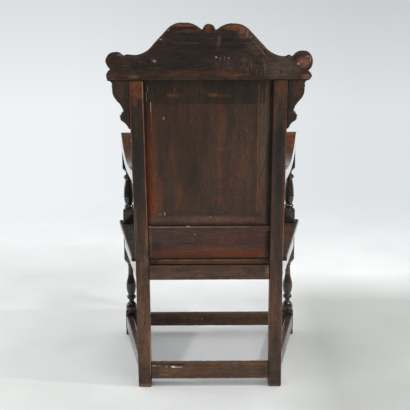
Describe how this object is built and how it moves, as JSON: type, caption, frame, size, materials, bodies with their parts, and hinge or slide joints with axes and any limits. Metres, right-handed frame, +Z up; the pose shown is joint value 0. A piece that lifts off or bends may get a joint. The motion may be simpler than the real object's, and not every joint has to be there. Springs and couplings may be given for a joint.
{
  "type": "joined armchair",
  "caption": "Joined oak armchair with a raked panelled back, shaped crest rail, open arms on turned posts, boarded seat and low stretchers.",
  "frame": {"origin": "centre of the chair's footprint box, on the floor", "axes": "+Z up; the sitter faces -Y; +X is the sitter's left"},
  "size_m": [0.671, 0.6436, 1.1817],
  "materials": {
    "frame_oak": "old dark polished oak, worn at the arrises",
    "panel_oak": "old dark oak with a hand-cut bevelled back",
    "turned_oak": "nearly black polished turned oak",
    "seat_oak": "dark worn oak boards",
    "peg_oak": "dark riven oak pegs",
    "nail_iron": "old wrought iron"
  },
  "bodies": {
    "root": {"arm_left": "turned_oak", "arm_pegs": "peg_oak", "arm_post_pegs": "peg_oak", "arm_right": "turned_oak", "back_panel": "panel_oak", "back_rail_pegs": "peg_oak", "crest_pegs": "peg_oak", "crest_rail": "frame_oak", "ear_bracket_left": "frame_oak", "ear_bracket_right": "frame_oak", "ear_nails": "nail_iron", "front_post_left": "turned_oak", "front_post_right": "turned_oak", "lower_back_rail": "frame_oak", "rear_stile_left": "frame_oak", "rear_stile_right": "frame_oak", "seat_board_front": "seat_oak", "seat_board_pegs": "peg_oak", "seat_board_rear": "seat_oak", "seat_frame_pegs": "peg_oak", "seat_rail_front": "frame_oak", "seat_rail_left": "frame_oak", "seat_rail_rear": "frame_oak", "seat_rail_right": "frame_oak", "stretcher_front": "frame_oak", "stretcher_left": "frame_oak", "stretcher_pegs": "peg_oak", "stretcher_rear": "frame_oak", "stretcher_right": "frame_oak"}
  },
  "joints": []
}
